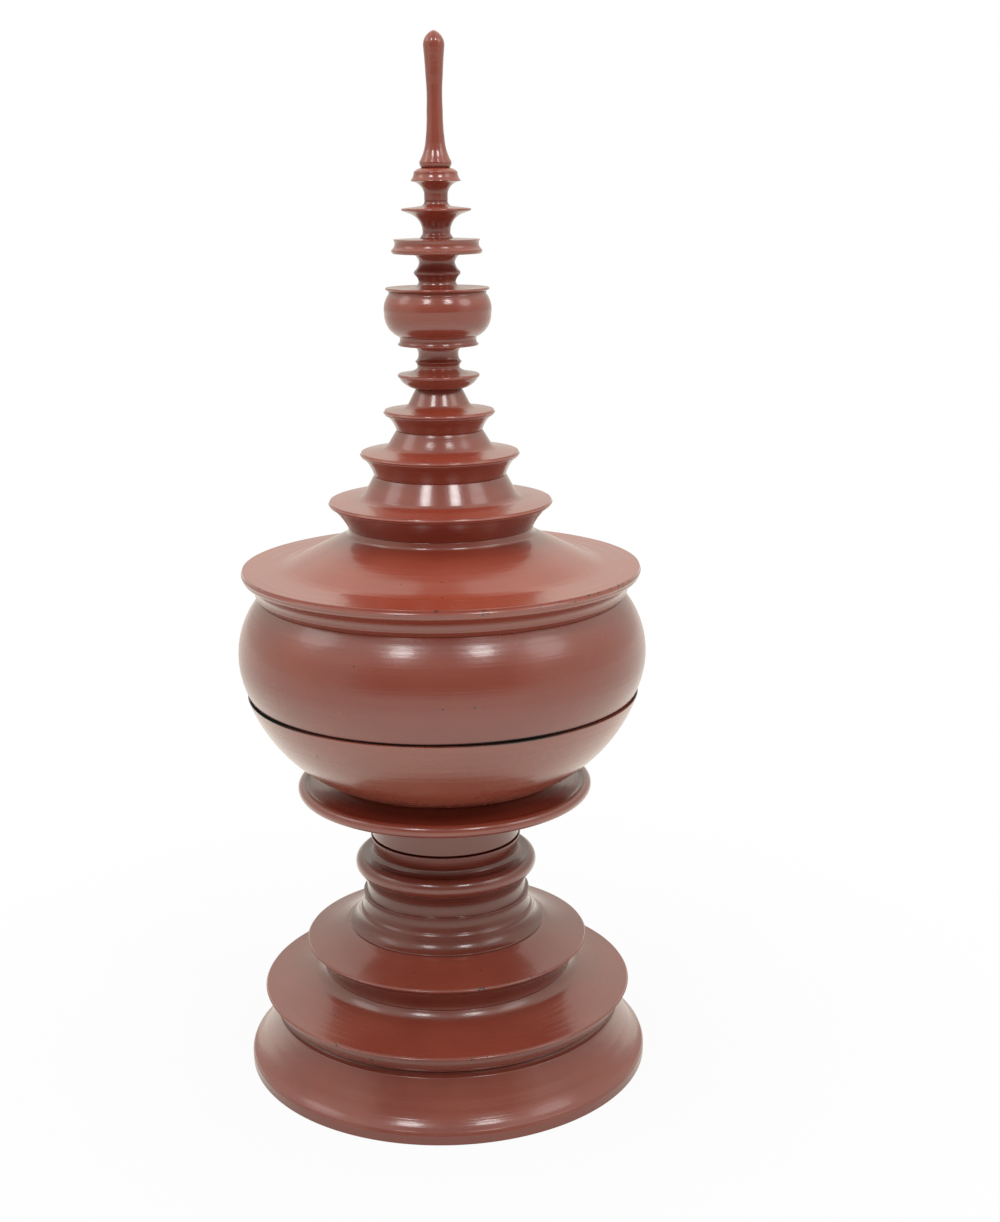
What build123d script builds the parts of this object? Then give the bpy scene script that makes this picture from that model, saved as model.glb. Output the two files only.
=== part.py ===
from build123d import *
from math import sqrt
import os

# A lacquered offering vessel in turned wood and coiled bamboo. Every piece is round about Z.
# Sizes are in millimetres. The origin is at the centre of the circle that the foot stands on.

# Fits between pieces
glue_line = 0.1          # radial room round a tenon that is glued for good
lift_gap = 0.5           # radial room round a spigot, hoop or tenon that lifts out by hand
tenon_end_gap = 0.6      # room past the end of a tenon

# Foot ring: a hollow hoop with a band, a cove and a flat top
foot_top_radius = 89.8
foot_spread = 17.2
foot_height = 30.5
foot_band_height = 5.0
foot_ridge = 2.2
foot_cove_depth = 3.4
foot_rim_width = 10.0
foot_wall = 7.0

# Lower tier of the base: a disc with a bead under a thin lip
lower_tier_height = 21.8
lower_tier_overhang = 8.8
lower_bead_height = 9.4
lower_bead_swell = 1.2
lower_tier_dish = 1.2
lower_seat_width = 5.0
lower_seat_height = 4.7
lower_seat_cove = 0.6

# Upper tier of the base: a disc with a coved edge and a thin lip
upper_tier_height = 22.9
upper_tier_neck = 66.5
upper_tier_overhang = 8.9
upper_cove_height = 12.8
upper_cove_depth = 2.2
upper_tier_dish = 1.2

# The thin lips of the base tiers
lip_thickness = 2.6
lip_step = 2.2
lip_round = 0.7

# Stem: a waisted column with a skirt, a bead and two bands
skirt_radius = 52.3
skirt_height = 6.6
skirt_cove = 0.9
bead_radius = 46.9
bead_height = 3.0
bead_swell = 0.4
lower_band_radius = 45.2
lower_band_height = 8.2
upper_band_radius = 43.0
upper_band_height = 11.8
band_hollow = 0.7
stem_head_radius = 45.6
stem_tenon_radius = 22.0
stem_peg_radius = 15.0

# Collar on the stem: a thick round lip, a trough, and the mouth of the socket for the foot of the bowl
collar_height = 19.5
collar_overhang = 8.3
collar_rim = 8.5
collar_lip_height = 9.4
collar_lip_fall = 3.7
collar_trough_radius = 37.0
collar_trough_height = 8.0
collar_trough_rounding = 3.0
socket_depth = 12.0

# Foot of the bowl: a plug with a band above the collar
plug_radius = 31.0
band_step = 8.2
band_gap = 0.8
band_height = 10.6
band_bead_height = 2.8
band_bead_swell = 1.1
bowl_tenon_radius = 18.0

# Saucer under the bowl: a flared disc with a rolled edge
saucer_height = 20.4
saucer_radius = 77.6
saucer_neck = 42.4
saucer_cove = 0.7
saucer_dish = 1.6
saucer_roll = 3.2
saucer_roll_height = 13.9
saucer_roll_start = -60.0    # degrees from level, where the roll leaves the underside
saucer_roll_turn = 205.0     # degrees that the roll turns through

# Bowl: coiled bamboo, open at the top
bowl_base_radius = 60.0
bowl_radius = 101.9
bowl_height = 45.8
bowl_bulge = 6.4
bowl_wall = 4.6
bowl_floor = 6.0

# Seat hoop in the mouth of the bowl, for the lid and the tray
rim_land = 5.7
hoop_thickness = 2.4
hoop_depth = 7.0
hoop_rise = 6.8
seat_thickness = 1.2
seat_inset = 1.6

# Tray that hangs in the hoop
tray_depth = 18.0
tray_wall = 2.4
tray_floor = 3.0
tray_corner = 6.0
tray_rim_thickness = 2.0

# Lid dome: coiled bamboo, open underneath
lid_inset = 0.9
lid_dome_height = 50.1
lid_neck_radius = 94.0
lid_bulge = 7.9
lid_rebate_height = 11.0
lid_wall = 4.4

# Lid roof: a thick flange over an undercut, with a hollow cone and a short neck
roof_height = 35.3
roof_overhang = 8.7
roof_arris_step = 2.0
roof_arris_rise = 2.8
roof_arris_width = 1.0
roof_undercut = 1.0
roof_edge_height = 10.0
roof_edge_step = 1.4
roof_lip_thickness = 5.0
roof_ledge_radius = 78.5
roof_ledge_rise = 1.0
roof_ledge_rounding = 40.0
roof_neck_height = 3.5
roof_neck_flare = 0.8
roof_neck_rounding = 3.0
roof_sweep = 5.6
roof_wall = 6.0
roof_rim_depth = 10.0

# Tiers of the lid, lowest first
tier_names = ["lid_tier_lower", "lid_tier_middle", "lid_tier_upper"]
tier_necks = [47.2, 33.6, 21.8]
tier_overhangs = [10.0, 7.0, 6.5]
tier_neck_heights = [10.4, 8.6, 7.0]
tier_roof_heights = [13.0, 10.9, 10.7]
tier_cone_radii = [40.0, 27.3, 16.4]
tier_ledge_rises = [1.1, 1.8, 1.2]
tier_cone_rounding = 5.0
tier_lip_thickness = 3.2
tier_neck_cove = 0.6
tier_wall = 5.0
tier_peak_radius = 11.6

# Spire foot: the tenon, a thick disc, and a sharp bead on a neck that flares at both ends
spire_tenon_radius = 5.0
spire_tenon_length = 20.0
spire_disc_radius = 20.6
spire_disc_height = 5.5
spire_disc_swell = 1.2
spire_disc_thickness = 1.9
spire_dish_height = 2.7
spire_dish = 0.8
spire_neck_radius = 10.7
spire_bead_radius = 11.8
spire_bead_height = 3.4
spire_bead_cove = 0.5
spire_waist_radius = 10.1
spire_flare_height = 8.0
spire_head_radius = 13.0
spire_peg_radius = 4.0
spire_peg_length = 7.0

# Alms bowl on the spire: a flared foot ring and a round bowl with an upright mouth
alms_foot_radius = 20.4
alms_foot_height = 4.3
alms_foot_lip = 1.1
alms_foot_cove = 0.4
alms_base_radius = 19.4
alms_belly_radius = 26.6
alms_belly_height = 11.2
alms_mouth_radius = 24.3
alms_bowl_height = 21.2
alms_mouth_height = 1.2

# Cover of the alms bowl: a thin dished disc with a neck and a sharp bead
cover_overhang = 1.7
cover_thickness = 1.8
cover_dish = 0.7
cover_flare_radius = 13.0
cover_neck_radius = 9.3
cover_neck_height = 4.4
cover_bead_radius = 11.6
cover_bead_height = 3.4

# Double ring: two lips with a groove between them, on a flared neck
ring_waist_radius = 8.9
ring_neck_height = 8.6
ring_flare_radius = 12.4
ring_radius = 22.4
ring_lower_height = 2.0
ring_upper_height = 5.0
ring_groove = 1.6
ring_taper = 0.8
ring_crown = 0.6
ring_foot_radius = 8.3

# Thin disc under the finial, on a trumpet-shaped neck
disc_neck_radius = 6.9
disc_foot_height = 2.0
disc_flare_height = 9.8
disc_flare_radius = 13.2
disc_flare_cove = 2.0
disc_radius = 17.4
disc_edge_rise = 1.2
disc_thickness = 1.3
disc_crown = 1.0
disc_cap_radius = 5.8
disc_cap_height = 2.4
finial_tenon_radius = 3.2
finial_tenon_length = 8.0

# Finial: a collar on a neck, and a long bud
finial_neck_height = 3.6
collar_edge_radius = 12.4
collar_cone_height = 5.9
collar_cone_cove = 1.6
shoulder_radius = 10.8
shoulder_height = 4.4
collar_crown_height = 2.0
bud_foot_radius = 7.0
bud_flare_radius = 7.8
bud_flare_height = 2.9
bud_waist_radius = 3.95
bud_waist_height = 27.0
bud_neck_radius = 4.2
bud_neck_height = 43.0
bud_head_radius = 5.1
bud_head_height = 56.0
bud_height = 64.2
bud_peg_radius = 2.6
bud_peg_length = 6.0

# Radii that follow from the sizes above
foot_radius = foot_top_radius + foot_spread
foot_hollow_radius = foot_radius - foot_rim_width
foot_hole_radius = foot_top_radius - foot_wall
socket_radius = plug_radius + lift_gap
collar_mouth_radius = socket_radius + collar_rim
collar_radius = collar_mouth_radius + collar_overhang
band_radius = plug_radius + band_step
hoop_radius = bowl_radius - rim_land
tray_radius = hoop_radius - hoop_thickness - lift_gap
lid_mouth_radius = bowl_radius - lid_inset

# Heights of the joints between pieces, from the floor up
lower_tier_z = foot_height
upper_tier_z = lower_tier_z + lower_tier_height
stem_z = upper_tier_z + upper_tier_height
bead_z = stem_z + skirt_height
lower_band_z = bead_z + bead_height
upper_band_z = lower_band_z + lower_band_height
collar_z = upper_band_z + upper_band_height
collar_top_z = collar_z + collar_height
socket_floor_z = collar_top_z - socket_depth
band_z = collar_top_z + band_gap
saucer_z = band_z + band_height + band_bead_height
bowl_z = saucer_z + saucer_height
bowl_rim_z = bowl_z + bowl_height
lid_z = bowl_rim_z + seat_thickness
hoop_top_z = lid_z + hoop_rise
roof_z = lid_z + lid_dome_height
first_tier_z = roof_z + roof_height
tier_heights = [
    neck + tier_lip_thickness + roof for neck, roof in zip(tier_neck_heights, tier_roof_heights)
]
spire_z = first_tier_z + sum(tier_heights)
disc_under_z = spire_z + spire_disc_height
disc_top_z = disc_under_z + spire_disc_thickness + spire_dish_height
spire_bead_z = disc_top_z + spire_bead_height
alms_z = spire_bead_z + spire_flare_height
cover_z = alms_z + alms_foot_height + alms_bowl_height + alms_mouth_height
cover_top_z = cover_z + cover_thickness
ring_z = cover_top_z + cover_neck_height + cover_bead_height
ring_under_z = ring_z + ring_neck_height
ring_top_z = ring_under_z + ring_lower_height + ring_upper_height
disc_z = ring_top_z + ring_crown
disc_edge_z = disc_z + disc_foot_height + disc_flare_height
finial_z = disc_edge_z + disc_edge_rise + disc_thickness + disc_crown + disc_cap_height
collar_cone_z = finial_z + finial_neck_height
collar_edge_z = collar_cone_z + collar_cone_height
bud_z = collar_edge_z + shoulder_height + collar_crown_height

os.makedirs("parts", exist_ok=True)


def save(piece, name):
    """Label a finished piece and write it as its own file."""
    piece.part.label = name
    export_step(piece.part, f"parts/{name}.step")


def thin_lip(radius, z, thickness, step, rounding):
    """Draw the edge of a disc, from its underside at z to its top face, and return both ends."""
    under = Line((radius - step, z), (radius - rounding, z + 0.25 * thickness))
    tip = ThreePointArc(under @ 1, (radius, z + 0.6 * thickness), (radius - rounding, z + thickness))
    return under @ 0, tip @ 1


def radius_inside(arc, wall, z):
    """The radius, at height z, of the circle that runs a wall's thickness inside an arc."""
    centre = arc.arc_center
    return centre.X + sqrt((arc.radius - wall) ** 2 - (z - centre.Y) ** 2)


# Foot ring
with BuildPart() as foot_ring:
    with BuildSketch(Plane.XZ):
        with BuildLine():
            band = Polyline(
                (foot_hole_radius, foot_height),
                (foot_hole_radius, foot_height - foot_wall),
                (foot_hollow_radius, foot_band_height),
                (foot_hollow_radius, 0),
                (foot_radius, 0),
                (foot_radius, foot_band_height),
            )
            ridge = RadiusArc(
                band @ 1, (foot_radius - foot_ridge, foot_band_height + foot_ridge), -foot_ridge
            )
            cove = SagittaArc(ridge @ 1, (foot_top_radius, foot_height), foot_cove_depth)
            Line(cove @ 1, band @ 0)
        make_face()
    revolve(axis=Axis.Z)
save(foot_ring, "foot_ring")

# Lower tier of the base, with the hole that the stem's tenon goes through
stem_hole_radius = stem_tenon_radius + glue_line
lower_lip_z = lower_tier_z + lower_bead_height
with BuildPart() as lower_base_tier:
    with BuildSketch(Plane.XZ):
        with BuildLine():
            under, edge = thin_lip(
                foot_top_radius + lower_tier_overhang, lower_lip_z, lip_thickness, lip_step, lip_round
            )
            SagittaArc((foot_top_radius, lower_tier_z), under, -lower_bead_swell)
            seat = (upper_tier_neck + lower_seat_width, upper_tier_z - lower_seat_height)
            SagittaArc(edge, seat, lower_tier_dish)
            SagittaArc(seat, (upper_tier_neck, upper_tier_z), lower_seat_cove)
            Polyline(
                (upper_tier_neck, upper_tier_z),
                (stem_hole_radius, upper_tier_z),
                (stem_hole_radius, lower_tier_z),
                (foot_top_radius, lower_tier_z),
            )
        make_face()
    revolve(axis=Axis.Z)
save(lower_base_tier, "lower_base_tier")

# Upper tier of the base
upper_lip_z = upper_tier_z + upper_cove_height
with BuildPart() as upper_base_tier:
    with BuildSketch(Plane.XZ):
        with BuildLine():
            under, edge = thin_lip(
                upper_tier_neck + upper_tier_overhang, upper_lip_z, lip_thickness, lip_step, lip_round
            )
            SagittaArc((upper_tier_neck, upper_tier_z), under, upper_cove_depth)
            SagittaArc(edge, (skirt_radius, stem_z), upper_tier_dish)
            Polyline(
                (skirt_radius, stem_z),
                (stem_hole_radius, stem_z),
                (stem_hole_radius, upper_tier_z),
                (upper_tier_neck, upper_tier_z),
            )
        make_face()
    revolve(axis=Axis.Z)
save(upper_base_tier, "upper_base_tier")

# Stem, with its tenon below and its peg above
with BuildPart() as pedestal_stem:
    with BuildSketch(Plane.XZ):
        with BuildLine():
            tenon = Polyline(
                (0, lower_tier_z),
                (stem_tenon_radius, lower_tier_z),
                (stem_tenon_radius, stem_z),
                (skirt_radius, stem_z),
                (skirt_radius, stem_z + skirt_cove),
            )
            skirt = SagittaArc(tenon @ 1, (bead_radius, bead_z), skirt_cove)
            bead = SagittaArc(skirt @ 1, (lower_band_radius, lower_band_z), -bead_swell)
            lower_band = SagittaArc(
                bead @ 1, (lower_band_radius - band_hollow, upper_band_z), band_hollow
            )
            ledge = Line(lower_band @ 1, (upper_band_radius, upper_band_z))
            upper_band = SagittaArc(ledge @ 1, (stem_head_radius, collar_z), 2 * band_hollow)
            Polyline(
                upper_band @ 1,
                (stem_peg_radius, collar_z),
                (stem_peg_radius, socket_floor_z - tenon_end_gap),
                (0, socket_floor_z - tenon_end_gap),
                (0, lower_tier_z),
            )
        make_face()
    revolve(axis=Axis.Z)
save(pedestal_stem, "pedestal_stem")

# Collar on the stem, with the socket for the foot of the bowl
peg_hole_radius = stem_peg_radius + glue_line
with BuildPart() as stem_collar:
    with BuildSketch(Plane.XZ):
        with BuildLine():
            lip = ThreePointArc(
                (stem_head_radius, collar_z),
                (collar_radius, collar_z + 0.5 * collar_lip_height),
                (collar_radius - collar_lip_fall, collar_z + collar_lip_height),
            )
            trough = FilletPolyline(
                lip @ 1,
                (collar_trough_radius, collar_z + collar_trough_height),
                (collar_mouth_radius, collar_top_z),
                radius=collar_trough_rounding,
            )
            Polyline(
                trough @ 1,
                (socket_radius, collar_top_z),
                (socket_radius, socket_floor_z),
                (peg_hole_radius, socket_floor_z),
                (peg_hole_radius, collar_z),
                (stem_head_radius, collar_z),
            )
        make_face()
    revolve(axis=Axis.Z)
save(stem_collar, "stem_collar")

# Foot of the bowl: the plug, its band and the tenon that holds the saucer and the bowl
with BuildPart() as bowl_foot:
    with BuildSketch(Plane.XZ):
        with BuildLine():
            plug = Polyline(
                (0, socket_floor_z),
                (plug_radius, socket_floor_z),
                (plug_radius, band_z),
                (band_radius, band_z),
            )
            band = SagittaArc(plug @ 1, (band_radius, band_z + band_height), 0.3)
            bead = SagittaArc(band @ 1, (saucer_neck - band_bead_swell, saucer_z), -band_bead_swell)
            Polyline(
                bead @ 1,
                (bowl_tenon_radius, saucer_z),
                (bowl_tenon_radius, bowl_z - tenon_end_gap),
                (0, bowl_z - tenon_end_gap),
                (0, socket_floor_z),
            )
        make_face()
    revolve(axis=Axis.Z)
save(bowl_foot, "bowl_foot")

# Saucer under the bowl
saucer_hole_radius = bowl_tenon_radius + glue_line
with BuildPart() as bowl_saucer:
    with BuildSketch(Plane.XZ):
        with BuildLine():
            roll = CenterArc(
                (saucer_radius - saucer_roll, saucer_z + saucer_roll_height),
                saucer_roll,
                saucer_roll_start,
                saucer_roll_turn,
            )
            SagittaArc((saucer_neck, saucer_z), roll @ 0, saucer_cove)
            SagittaArc(roll @ 1, (bowl_base_radius, bowl_z), saucer_dish)
            Polyline(
                (bowl_base_radius, bowl_z),
                (saucer_hole_radius, bowl_z),
                (saucer_hole_radius, saucer_z),
                (saucer_neck, saucer_z),
            )
        make_face()
    revolve(axis=Axis.Z)
save(bowl_saucer, "bowl_saucer")

# Bowl shell, with a rebate at its mouth for the seat hoop
rebate_z = bowl_rim_z - hoop_depth
rebate_radius = hoop_radius + glue_line
with BuildPart() as bowl_shell:
    with BuildSketch(Plane.XZ):
        with BuildLine():
            outside = SagittaArc((bowl_base_radius, bowl_z), (bowl_radius, bowl_rim_z), -bowl_bulge)
            wall_top = radius_inside(outside, bowl_wall, rebate_z)
            floor_edge = radius_inside(outside, bowl_wall, bowl_z + bowl_floor)
            Polyline(
                outside @ 1,
                (rebate_radius, bowl_rim_z),
                (rebate_radius, rebate_z),
                (wall_top, rebate_z),
            )
            RadiusArc(
                (wall_top, rebate_z), (floor_edge, bowl_z + bowl_floor), outside.radius - bowl_wall
            )
            Polyline(
                (floor_edge, bowl_z + bowl_floor),
                (0, bowl_z + bowl_floor),
                (0, bowl_z),
                outside @ 0,
            )
        make_face()
    revolve(axis=Axis.Z)
save(bowl_shell, "bowl_shell")

# Seat hoop: a bent strip with a flat flange on the edge of the bowl
with BuildPart() as bowl_rim:
    with BuildSketch(Plane.XZ):
        with BuildLine():
            Polyline(
                (hoop_radius - hoop_thickness, rebate_z),
                (hoop_radius, rebate_z),
                (hoop_radius, bowl_rim_z),
                (lid_mouth_radius - seat_inset, bowl_rim_z),
                (lid_mouth_radius - seat_inset, lid_z),
                (hoop_radius, lid_z),
                (hoop_radius, hoop_top_z),
                (hoop_radius - hoop_thickness, hoop_top_z),
                close=True,
            )
        make_face()
    revolve(axis=Axis.Z)
save(bowl_rim, "bowl_rim")

# Tray pan
tray_bottom_z = hoop_top_z - tray_depth
with BuildPart() as tray_pan:
    with BuildSketch(Plane.XZ):
        with BuildLine():
            outside = FilletPolyline(
                (0, tray_bottom_z),
                (tray_radius, tray_bottom_z),
                (tray_radius, hoop_top_z),
                radius=tray_corner,
            )
            inside = FilletPolyline(
                (0, tray_bottom_z + tray_floor),
                (tray_radius - tray_wall, tray_bottom_z + tray_floor),
                (tray_radius - tray_wall, hoop_top_z),
                radius=tray_corner - tray_wall,
            )
            Line(outside @ 0, inside @ 0)
            Line(outside @ 1, inside @ 1)
        make_face()
    revolve(axis=Axis.Z)
save(tray_pan, "tray_pan")

# Tray rim: a bent strip on the pan's wall, which hangs on the seat hoop
with BuildPart() as tray_rim:
    with BuildSketch(Plane.XZ):
        with BuildLine():
            Polyline(
                (tray_radius - tray_wall, hoop_top_z),
                (hoop_radius, hoop_top_z),
                (hoop_radius, hoop_top_z + tray_rim_thickness),
                (tray_radius - tray_wall, hoop_top_z + tray_rim_thickness),
                close=True,
            )
        make_face()
    revolve(axis=Axis.Z)
save(tray_rim, "tray_rim")

# Lid dome, with a rebate that drops over the seat hoop and the tray's rim
lid_rebate_radius = hoop_radius + lift_gap
lid_rebate_z = lid_z + lid_rebate_height
with BuildPart() as lid_dome:
    with BuildSketch(Plane.XZ):
        with BuildLine():
            outside = SagittaArc((lid_mouth_radius, lid_z), (lid_neck_radius, roof_z), -lid_bulge)
            lid_hollow_radius = radius_inside(outside, lid_wall, roof_z)
            wall_foot = radius_inside(outside, lid_wall, lid_rebate_z)
            Line(outside @ 1, (lid_hollow_radius, roof_z))
            RadiusArc((lid_hollow_radius, roof_z), (wall_foot, lid_rebate_z), outside.radius - lid_wall)
            Polyline(
                (wall_foot, lid_rebate_z),
                (lid_rebate_radius, lid_rebate_z),
                (lid_rebate_radius, lid_z),
                outside @ 0,
            )
        make_face()
    revolve(axis=Axis.Z)
save(lid_dome, "lid_dome")

# Lid roof: the undercut flange, its ledge, the cone and the neck, hollow inside
tier_tops = tier_necks[1:] + [tier_peak_radius]
roof_hole_radius = tier_necks[0] - tier_wall
roof_radius = lid_neck_radius + roof_overhang
roof_edge_z = roof_z + roof_edge_height
with BuildPart() as lid_roof:
    with BuildSketch(Plane.XZ):
        with BuildLine():
            under, edge = thin_lip(
                roof_radius, roof_edge_z, roof_lip_thickness, roof_edge_step, lip_round
            )
            arris = Polyline(
                (lid_neck_radius, roof_z),
                (lid_neck_radius + roof_arris_step, roof_z + roof_arris_rise),
                (lid_neck_radius + roof_arris_step, roof_z + roof_arris_rise + roof_arris_width),
            )
            SagittaArc(arris @ 1, under, roof_undercut)
            FilletPolyline(
                edge,
                (roof_ledge_radius, roof_edge_z + roof_lip_thickness + roof_ledge_rise),
                (tier_necks[0] + roof_neck_flare, first_tier_z - roof_neck_height),
                (tier_necks[0], first_tier_z),
                radius=[roof_ledge_rounding, roof_neck_rounding],
            )
            Polyline(
                (tier_necks[0], first_tier_z),
                (roof_hole_radius, first_tier_z),
                (roof_hole_radius, first_tier_z - roof_wall),
            )
            SagittaArc(
                (roof_hole_radius, first_tier_z - roof_wall),
                (lid_hollow_radius, roof_z + roof_rim_depth),
                -roof_sweep,
            )
            Polyline(
                (lid_hollow_radius, roof_z + roof_rim_depth),
                (lid_hollow_radius, roof_z),
                (lid_neck_radius, roof_z),
            )
        make_face()
    revolve(axis=Axis.Z)
save(lid_roof, "lid_roof")

# Tiers of the lid: two open rings, then a peak with the socket for the spire
tier_z = first_tier_z
for index, name in enumerate(tier_names):
    neck = tier_necks[index]
    top = tier_tops[index]
    top_z = tier_z + tier_heights[index]
    is_peak = index == len(tier_names) - 1
    bore = spire_tenon_radius + lift_gap if is_peak else top - tier_wall
    bore_z = top_z - spire_tenon_length - tenon_end_gap if is_peak else tier_z
    with BuildPart() as tier:
        with BuildSketch(Plane.XZ):
            with BuildLine():
                lip_z = tier_z + tier_neck_heights[index]
                under, edge = thin_lip(
                    neck + tier_overhangs[index], lip_z, tier_lip_thickness, lip_step, lip_round
                )
                SagittaArc((neck, tier_z), under, tier_neck_cove)
                FilletPolyline(
                    edge,
                    (tier_cone_radii[index], lip_z + tier_lip_thickness + tier_ledge_rises[index]),
                    (top, top_z),
                    radius=tier_cone_rounding,
                )
                Polyline((top, top_z), (bore, top_z), (bore, bore_z))
                if is_peak:
                    Polyline((bore, bore_z), (0, bore_z), (0, tier_z), (neck, tier_z))
                else:
                    Line((bore, bore_z), (neck, tier_z))
            make_face()
        revolve(axis=Axis.Z)
    save(tier, name)
    tier_z = top_z

# Spire foot: tenon, thick disc, bead, and the flare that carries the alms bowl
with BuildPart() as spire_foot:
    with BuildSketch(Plane.XZ):
        with BuildLine():
            tenon = Polyline(
                (0, spire_z - spire_tenon_length),
                (spire_tenon_radius, spire_z - spire_tenon_length),
                (spire_tenon_radius, spire_z),
                (tier_peak_radius, spire_z),
            )
            under = SagittaArc(
                tenon @ 1, (spire_disc_radius - lip_round, disc_under_z), -spire_disc_swell
            )
            edge = ThreePointArc(
                under @ 1,
                (spire_disc_radius, disc_under_z + 0.5 * spire_disc_thickness),
                (spire_disc_radius - lip_round, disc_under_z + spire_disc_thickness),
            )
            dish = SagittaArc(edge @ 1, (spire_neck_radius, disc_top_z), spire_dish)
            bead = SagittaArc(dish @ 1, (spire_bead_radius, spire_bead_z), spire_bead_cove)
            flare = ThreePointArc(
                bead @ 1,
                (spire_waist_radius, spire_bead_z + 0.45 * spire_flare_height),
                (spire_head_radius, alms_z),
            )
            Polyline(
                flare @ 1,
                (spire_peg_radius, alms_z),
                (spire_peg_radius, alms_z + spire_peg_length),
                (0, alms_z + spire_peg_length),
                (0, spire_z - spire_tenon_length),
            )
        make_face()
    revolve(axis=Axis.Z)
save(spire_foot, "spire_foot")

# Alms bowl, bored from below for the peg of the spire foot
peg_bore_radius = spire_peg_radius + glue_line
peg_bore_z = alms_z + spire_peg_length + tenon_end_gap
alms_base_z = alms_z + alms_foot_height
alms_mouth_z = alms_base_z + alms_bowl_height
cover_peg_z = cover_z - spire_peg_length
with BuildPart() as alms_bowl:
    with BuildSketch(Plane.XZ):
        with BuildLine():
            foot = Polyline(
                (spire_head_radius, alms_z),
                (alms_foot_radius - lip_round, alms_z),
                (alms_foot_radius, alms_z + 0.5 * alms_foot_lip),
                (alms_foot_radius - lip_round, alms_z + alms_foot_lip),
            )
            cove = SagittaArc(foot @ 1, (alms_base_radius, alms_base_z), alms_foot_cove)
            belly = ThreePointArc(
                cove @ 1,
                (alms_belly_radius, alms_base_z + alms_belly_height),
                (alms_mouth_radius, alms_mouth_z),
            )
            Polyline(
                belly @ 1,
                (alms_mouth_radius, cover_z),
                (spire_peg_radius, cover_z),
                (spire_peg_radius, cover_peg_z),
                (0, cover_peg_z),
                (0, peg_bore_z),
                (peg_bore_radius, peg_bore_z),
                (peg_bore_radius, alms_z),
                foot @ 0,
            )
        make_face()
    revolve(axis=Axis.Z)
save(alms_bowl, "alms_bowl")

# Cover of the alms bowl, with its peg below and a bead above
cover_radius = alms_mouth_radius + cover_overhang
cover_bead_z = cover_top_z + cover_neck_height
with BuildPart() as alms_bowl_cover:
    with BuildSketch(Plane.XZ):
        with BuildLine():
            peg = Polyline(
                (0, cover_peg_z + tenon_end_gap),
                (spire_peg_radius - glue_line, cover_peg_z + tenon_end_gap),
                (spire_peg_radius - glue_line, cover_z),
                (alms_mouth_radius, cover_z),
            )
            edge = ThreePointArc(
                peg @ 1,
                (cover_radius, cover_z + 0.6 * cover_thickness),
                (cover_radius - 0.5 * lip_round, cover_top_z),
            )
            top = SagittaArc(edge @ 1, (cover_flare_radius, cover_top_z), cover_dish)
            neck = ThreePointArc(
                top @ 1,
                (cover_neck_radius, cover_top_z + 0.6 * cover_neck_height),
                (cover_bead_radius, cover_bead_z + 0.6 * cover_bead_height),
            )
            Polyline(
                neck @ 1,
                (cover_bead_radius, ring_z),
                (spire_peg_radius, ring_z),
                (spire_peg_radius, ring_z + spire_peg_length),
                (0, ring_z + spire_peg_length),
                peg @ 0,
            )
        make_face()
    revolve(axis=Axis.Z)
save(alms_bowl_cover, "alms_bowl_cover")

# Double ring on its neck, with a peg above
ring_groove_z = ring_under_z + ring_lower_height
with BuildPart() as double_ring:
    with BuildSketch(Plane.XZ):
        with BuildLine():
            neck = ThreePointArc(
                (cover_bead_radius, ring_z),
                (ring_waist_radius, ring_z + 0.5 * ring_neck_height),
                (ring_flare_radius, ring_under_z),
            )
            lower = Line(neck @ 1, (ring_radius - lip_round, ring_under_z))
            lower_lip = SagittaArc(lower @ 1, (ring_radius, ring_groove_z), -0.5 * lip_round)
            groove = ThreePointArc(
                lower_lip @ 1,
                (ring_radius - ring_groove, ring_groove_z + 0.5 * ring_upper_height),
                (ring_radius - ring_taper, ring_top_z),
            )
            Polyline(
                groove @ 1,
                (ring_foot_radius, disc_z),
                (spire_peg_radius, disc_z),
                (spire_peg_radius, disc_z + spire_peg_length),
                (0, disc_z + spire_peg_length),
                (0, ring_z + spire_peg_length + tenon_end_gap),
                (peg_bore_radius, ring_z + spire_peg_length + tenon_end_gap),
                (peg_bore_radius, ring_z),
                neck @ 0,
            )
        make_face()
    revolve(axis=Axis.Z)
save(double_ring, "double_ring")

# Thin disc under the finial, bored below for the peg and above for the finial's tenon
disc_lip_z = disc_edge_z + disc_edge_rise
disc_crown_z = disc_lip_z + disc_thickness + disc_crown
finial_bore_radius = finial_tenon_radius + lift_gap
finial_bore_z = finial_z - finial_tenon_length - tenon_end_gap
with BuildPart() as spire_disc:
    with BuildSketch(Plane.XZ):
        with BuildLine():
            foot = Line((ring_foot_radius, disc_z), (disc_neck_radius, disc_z + disc_foot_height))
            flare = SagittaArc(foot @ 1, (disc_flare_radius, disc_edge_z), disc_flare_cove)
            under = Line(flare @ 1, (disc_radius - lip_round, disc_lip_z))
            tip = SagittaArc(
                under @ 1, (disc_radius - lip_round, disc_lip_z + disc_thickness), -lip_round
            )
            crown = Line(tip @ 1, (disc_cap_radius + disc_cap_height, disc_crown_z))
            cap = RadiusArc(crown @ 1, (disc_cap_radius, disc_crown_z + disc_cap_height), disc_cap_height)
            Polyline(
                cap @ 1,
                (finial_bore_radius, finial_z),
                (finial_bore_radius, finial_bore_z),
                (0, finial_bore_z),
                (0, disc_z + spire_peg_length + tenon_end_gap),
                (peg_bore_radius, disc_z + spire_peg_length + tenon_end_gap),
                (peg_bore_radius, disc_z),
                foot @ 0,
            )
        make_face()
    revolve(axis=Axis.Z)
save(spire_disc, "spire_disc")

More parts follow.
